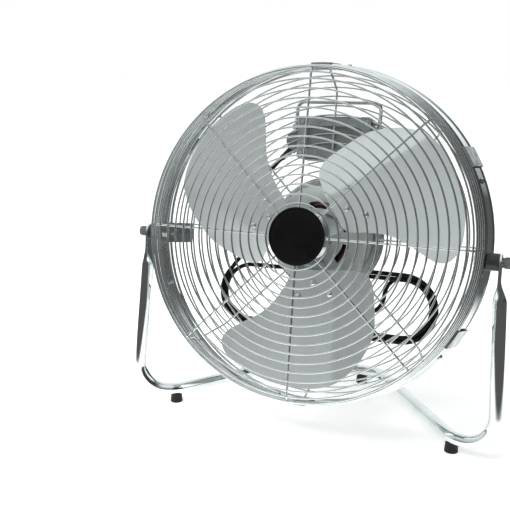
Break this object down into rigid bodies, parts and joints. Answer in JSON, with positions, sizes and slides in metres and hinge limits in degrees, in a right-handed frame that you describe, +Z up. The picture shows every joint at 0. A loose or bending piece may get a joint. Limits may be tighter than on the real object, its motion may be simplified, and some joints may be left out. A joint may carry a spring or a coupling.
{
  "type": "floor fan",
  "caption": "Round floor fan: wire cage with a steel band, aluminium blades on a rear motor, tilting between clamp knobs on a bent-tube stand, with control box and cord.",
  "frame": {"origin": "on the floor, under the middle of the fan's length, width and depth without the cord", "axes": "+Z up, the fan blows towards -Y and leans back 11 degrees at rest, +X to the right seen from behind"},
  "size_m": [0.58, 0.2882, 0.5446],
  "materials": {
    "stand_tube": "polished chrome plate",
    "foot_rubber": "matt black rubber",
    "fastener_steel": "bright zinc-plated steel",
    "band_chrome": "polished chrome plate",
    "wire_chrome": "polished chrome-plated wire",
    "badge_black": "satin black, blank",
    "clip_steel": "plated sheet steel",
    "bracket_steel": "plated sheet steel",
    "black_plastic": "matt black moulding",
    "knob_plastic": "dark grey moulding",
    "motor_cast": "light grey casting",
    "core_steel": "laminated steel",
    "winding_copper": "varnished copper wire",
    "bearing_steel": "ground steel",
    "hub_chrome": "polished plate",
    "blade_aluminium": "satin rolled sheet with fine brushing",
    "rivet_aluminium": "bright domed heads",
    "box_plastic": "dark grey moulding",
    "switch_plastic": "ivory moulding",
    "capacitor_plastic": "off-white moulding",
    "cord_rubber": "black cord sheath",
    "tie_fabric": "black woven strap",
    "pin_brass": "bright metal"
  },
  "bodies": {
    "stand": {"stand_leg_left": "stand_tube", "stand_leg_right": "stand_tube", "stand_base": "stand_tube", "rubber_feet": "foot_rubber", "foot_screws": "fastener_steel"},
    "head": {"drum_band": "band_chrome", "front_guard_rings": "wire_chrome", "front_guard_spokes": "wire_chrome", "front_badge": "badge_black", "badge_plate": "wire_chrome", "rear_guard_rings": "wire_chrome", "rear_guard_spokes": "wire_chrome", "rear_mount_plate": "wire_chrome", "guard_clips": "clip_steel", "clip_screws": "fastener_steel", "pivot_bracket_left": "bracket_steel", "pivot_bracket_right": "bracket_steel", "bracket_screws": "fastener_steel", "pivot_bolts": "fastener_steel", "pivot_spacers": "black_plastic", "motor_front_cover": "motor_cast", "motor_rear_cover": "motor_cast", "motor_stator": "core_steel", "motor_windings": "winding_copper", "motor_bearings": "bearing_steel", "motor_bolts": "fastener_steel", "control_box": "box_plastic", "control_box_cover": "box_plastic", "box_bracket": "bracket_steel", "box_screws": "fastener_steel", "rotary_switch": "switch_plastic", "run_capacitor": "capacitor_plastic", "carry_handle": "wire_chrome", "handle_screws": "fastener_steel", "cord_gland": "cord_rubber", "power_cord": "cord_rubber", "cord_hank": "cord_rubber", "cord_tie": "tie_fabric", "plug_body": "black_plastic", "plug_pins": "pin_brass"},
    "rotor": {"motor_shaft": "bearing_steel", "motor_rotor": "core_steel", "blade_hub": "hub_chrome", "blade_1": "blade_aluminium", "blade_2": "blade_aluminium", "blade_3": "blade_aluminium", "blade_rivets": "rivet_aluminium", "hub_nut": "fastener_steel"},
    "speed_dial": {"speed_knob": "black_plastic"},
    "clamp_left": {"knob_left": "knob_plastic"},
    "clamp_right": {"knob_right": "knob_plastic"}
  },
  "joints": [
    {"name": "head_tilt", "type": "hinge", "parent": "stand", "child": "head", "pos_m": [0, -0.04392, 0.282], "axis": [-1, 0, 0], "range_deg": [-31, 79]},
    {"name": "fan_spin", "type": "hinge", "parent": "head", "child": "rotor", "pos_m": [0, -0.05107, 0.29765], "axis": [0, -0.9816, 0.1908], "continuous": true},
    {"name": "speed_turn", "type": "hinge", "parent": "head", "child": "speed_dial", "pos_m": [0.026, 0.10898, 0.4224], "axis": [0, -0.9816, 0.1908], "range_deg": [0, 135]},
    {"name": "clamp_left_turn", "type": "hinge", "parent": "head", "child": "clamp_left", "pos_m": [-0.278, -0.04392, 0.282], "axis": [-1, 0, 0], "range_deg": [0, 360]},
    {"name": "clamp_right_turn", "type": "hinge", "parent": "head", "child": "clamp_right", "pos_m": [0.278, -0.04392, 0.282], "axis": [1, 0, 0], "range_deg": [0, 360]}
  ]
}
